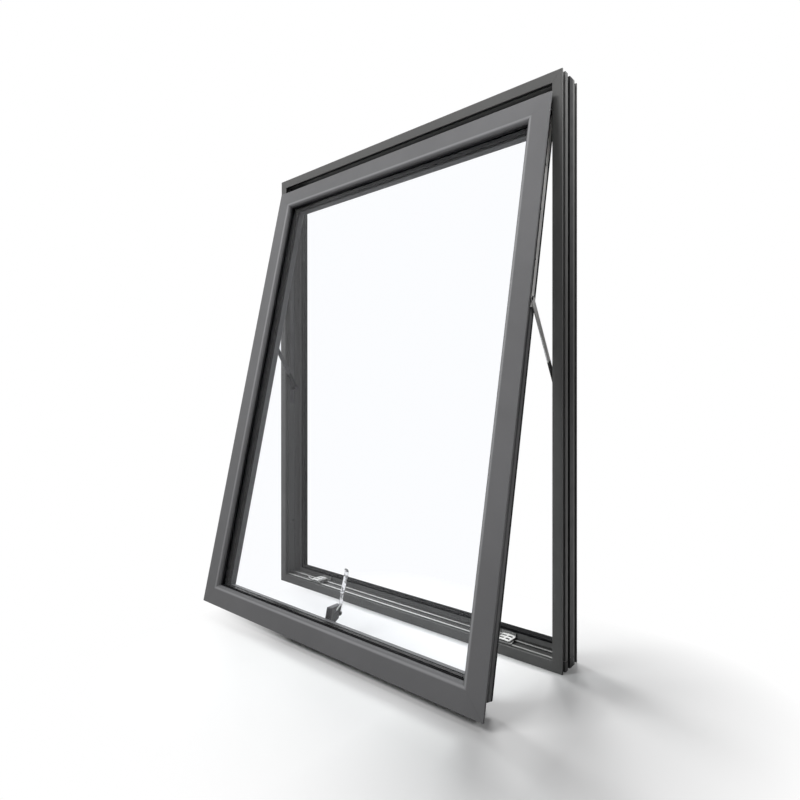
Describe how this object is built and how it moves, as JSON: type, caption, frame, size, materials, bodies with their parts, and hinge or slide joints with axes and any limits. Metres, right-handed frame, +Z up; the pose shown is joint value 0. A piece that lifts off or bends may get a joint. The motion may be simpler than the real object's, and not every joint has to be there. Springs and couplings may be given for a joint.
{
  "type": "top hung awning window",
  "caption": "Outward opening top hung window: hollow metal frame and double glazed sash on two friction stays, with a cam handle inside.",
  "frame": {"origin": "middle of the sill's underside, on the wide rib it rests on", "axes": "+Z up along the jambs, -Y towards the outside, +X to the right seen from outside"},
  "size_m": [1.003, 0.3804, 1.35],
  "materials": {
    "frame_paint": "dark grey powder coat",
    "sash_paint": "dark grey powder coat",
    "handle_base_paint": "dark grey, fine texture",
    "handle_chrome": "polished",
    "black_rubber": "matt EPDM",
    "clear_glass": "clear",
    "spacer_black": "black anodised",
    "stainless_steel": "brushed",
    "zinc_plated": "bright zinc plate",
    "shoe_nylon": "black nylon"
  },
  "bodies": {
    "frame": {"frame_head": "frame_paint", "frame_sill": "frame_paint", "frame_jamb_left": "frame_paint", "frame_jamb_right": "frame_paint", "frame_seal": "black_rubber", "stay_track_left": "stainless_steel", "stay_track_right": "stainless_steel", "sill_keep_left": "zinc_plated", "sill_keep_right": "zinc_plated"},
    "sash": {"sash_top_rail": "sash_paint", "sash_bottom_rail": "sash_paint", "sash_stile_left": "sash_paint", "sash_stile_right": "sash_paint", "glazing_bead_top": "sash_paint", "glazing_bead_bottom": "sash_paint", "glazing_bead_left": "sash_paint", "glazing_bead_right": "sash_paint", "glazing_gasket_outer": "black_rubber", "glazing_gasket_inner": "black_rubber", "sash_front_seal": "black_rubber", "sash_back_seal": "black_rubber", "glass_pane_outer": "clear_glass", "glass_pane_inner": "clear_glass", "glazing_spacer": "spacer_black", "sash_strip_left": "stainless_steel", "sash_strip_right": "stainless_steel", "handle_base": "handle_base_paint"},
    "stay_arm_right": {"stay_arm_right": "stainless_steel"},
    "stay_arm_left": {"stay_arm_left": "stainless_steel"},
    "shoe_right": {"stay_shoe_right": "shoe_nylon"},
    "shoe_left": {"stay_shoe_left": "shoe_nylon"},
    "handle_lever": {"handle_lever": "handle_chrome"}
  },
  "joints": [
    {"name": "stay_foot_right", "type": "hinge", "parent": "frame", "child": "stay_arm_right", "pos_m": [0.46595, -0.015, 0.651], "axis": [1, 0, 0], "range_deg": [-29.58, 8]},
    {"name": "stay_knee_right", "type": "hinge", "parent": "stay_arm_right", "child": "sash", "pos_m": [0.46595, -0.12401, 0.83088], "axis": [-1, 0, 0], "range_deg": [-42.17, 11.41]},
    {"name": "stay_foot_left", "type": "hinge", "parent": "frame", "child": "stay_arm_left", "pos_m": [-0.46595, -0.015, 0.651], "axis": [1, 0, 0], "range_deg": [-29.59, 8.01]},
    {"name": "shoe_pin_right", "type": "hinge", "parent": "sash", "child": "shoe_right", "pos_m": [0.46595, -0.02365, 1.2716], "axis": [1, 0, 0], "range_deg": [-12.58, 3.41]},
    {"name": "shoe_pin_left", "type": "hinge", "parent": "sash", "child": "shoe_left", "pos_m": [-0.46595, -0.02365, 1.2716], "axis": [1, 0, 0], "range_deg": [-12.58, 3.41]},
    {"name": "handle_turn", "type": "hinge", "parent": "sash", "child": "handle_lever", "pos_m": [-0.024, -0.23713, 0.06196], "axis": [0, 0.976, -0.2177], "range_deg": [0, 90]}
  ],
  "couplings": [
    {"joint": "stay_knee_right", "follows": "stay_foot_right", "ratio": 1.4251},
    {"joint": "stay_foot_left", "follows": "stay_foot_right", "ratio": 1},
    {"joint": "shoe_pin_right", "follows": "stay_foot_right", "ratio": 0.42509},
    {"joint": "shoe_pin_left", "follows": "stay_foot_right", "ratio": 0.42509}
  ]
}
